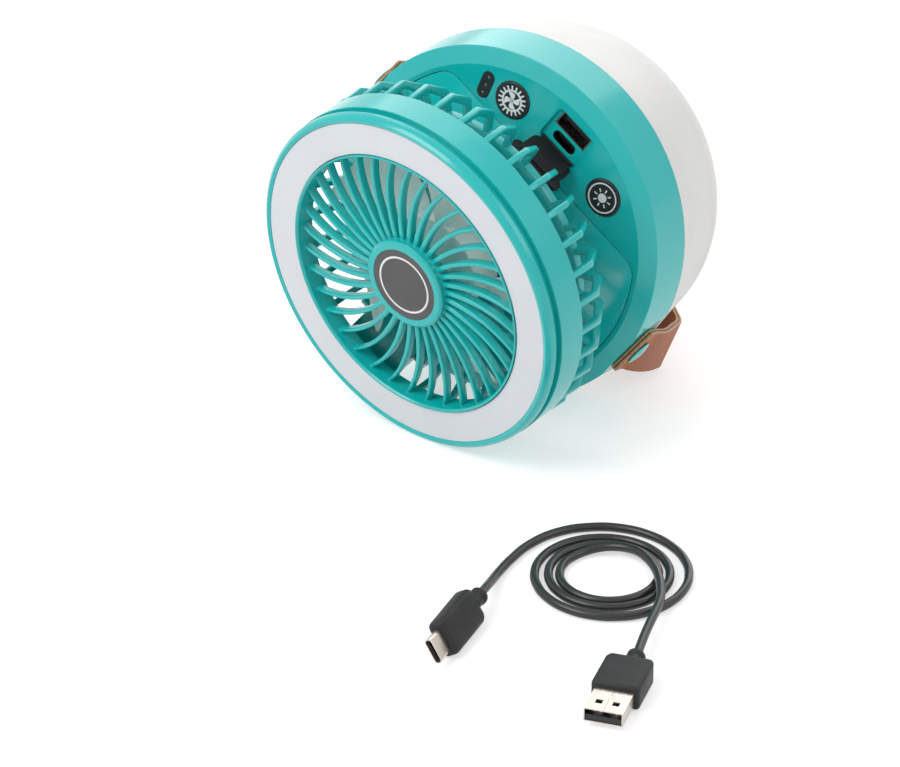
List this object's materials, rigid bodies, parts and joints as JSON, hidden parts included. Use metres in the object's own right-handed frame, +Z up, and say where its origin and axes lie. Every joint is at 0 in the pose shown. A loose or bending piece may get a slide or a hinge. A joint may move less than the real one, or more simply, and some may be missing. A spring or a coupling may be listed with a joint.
{
  "type": "portable camping fan",
  "caption": "Folding camping lantern with a tilting ring-light fan head, frosted lamp dome, leather carrying strap and a charging lead beside it.",
  "frame": {"origin": "on the floor under the middle of the fan's own box, without the charging lead, as it lies half open on its side", "axes": "+Z up; +Y away from the viewer, along the fan's longest side as it lies; +X to the right; the lantern's face looks towards -X and -Y"},
  "size_m": [0.1516, 0.3086, 0.1237],
  "materials": {
    "teal_shell": "glossy moulded",
    "teal_panel": "glossy moulded",
    "frosted_dome": "frosted translucent",
    "white_plastic": "satin",
    "ring_light": "frosted translucent",
    "circuit_board": "satin",
    "light_chip": "glossy",
    "battery": "sleeved",
    "bright_metal": "polished",
    "steel": "plain",
    "motor_metal": "plain",
    "black_plastic": "satin",
    "black_rubber": "matt",
    "leather": "smooth grain",
    "badge_grey": "satin",
    "impeller_plastic": "frosted translucent",
    "cable_jacket": "satin"
  },
  "bodies": {
    "lantern": {"lantern_housing": "teal_shell", "face_insert": "teal_panel", "lamp_dome": "frosted_dome", "lamp_reflector": "white_plastic", "lamp_led_board": "white_plastic", "lamp_leds": "light_chip", "battery_cells": "battery", "battery_cradle": "white_plastic", "control_board": "circuit_board", "usb_a_port": "bright_metal", "usb_c_port": "bright_metal", "charge_indicator": "black_plastic", "strap_rivets": "teal_shell", "hinge_pin": "steel"},
    "fan_button": {"fan_button": "black_plastic"},
    "light_button": {"light_button": "black_plastic"},
    "port_cover": {"port_cover": "black_rubber"},
    "strap": {"carry_strap": "leather"},
    "fan_head": {"front_grille": "teal_shell", "ring_diffuser": "ring_light", "ring_led_board": "white_plastic", "ring_leds": "light_chip", "hub_badge": "badge_grey", "rear_cage": "teal_shell", "motor_can": "motor_metal", "cage_screws": "steel"},
    "fan_rotor": {"impeller": "impeller_plastic", "motor_shaft": "steel"},
    "charging_lead": {"lead_cable": "cable_jacket", "usb_a_plug_grip": "cable_jacket", "usb_a_plug_shell": "bright_metal", "usb_a_plug_tongue": "black_plastic", "usb_c_plug_grip": "cable_jacket", "usb_c_plug_shell": "bright_metal"}
  },
  "joints": [
    {"name": "head_tilt", "type": "hinge", "parent": "lantern", "child": "fan_head", "pos_m": [-0.03243, -0.00401, 0.01993], "axis": [0.6674, -0.4698, -0.5779], "range_deg": [-5.5, 76]},
    {"name": "fan_spin", "type": "hinge", "parent": "fan_head", "child": "fan_rotor", "pos_m": [-0.01812, -0.03534, 0.06194], "axis": [-0.6404, -0.7581, -0.1233], "continuous": true},
    {"name": "fan_button_press", "type": "slide", "parent": "lantern", "child": "fan_button", "axis": [0.533, 0.8432, -0.0698], "range_m": [0, 0.0006], "stiffness_N_per_m": 1000, "springref_m": -0.0004},
    {"name": "light_button_press", "type": "slide", "parent": "lantern", "child": "light_button", "axis": [0.533, 0.8432, -0.0698], "range_m": [0, 0.0006], "stiffness_N_per_m": 1000, "springref_m": -0.0004},
    {"name": "cover_swing", "type": "hinge", "parent": "lantern", "child": "port_cover", "pos_m": [0.01956, -0.02259, 0.09508], "axis": [0.6674, -0.4698, -0.5779], "range_deg": [-97, 3]},
    {"name": "strap_swing", "type": "hinge", "parent": "lantern", "child": "strap", "pos_m": [0.00493, -0.0029, 0.06219], "axis": [0.6674, -0.4698, -0.5779], "range_deg": [-50, 105]},
    {"name": "lead_lift", "type": "slide", "parent": "lantern", "child": "charging_lead", "axis": [0, 0, 1], "range_m": [0, 0.06]}
  ]
}
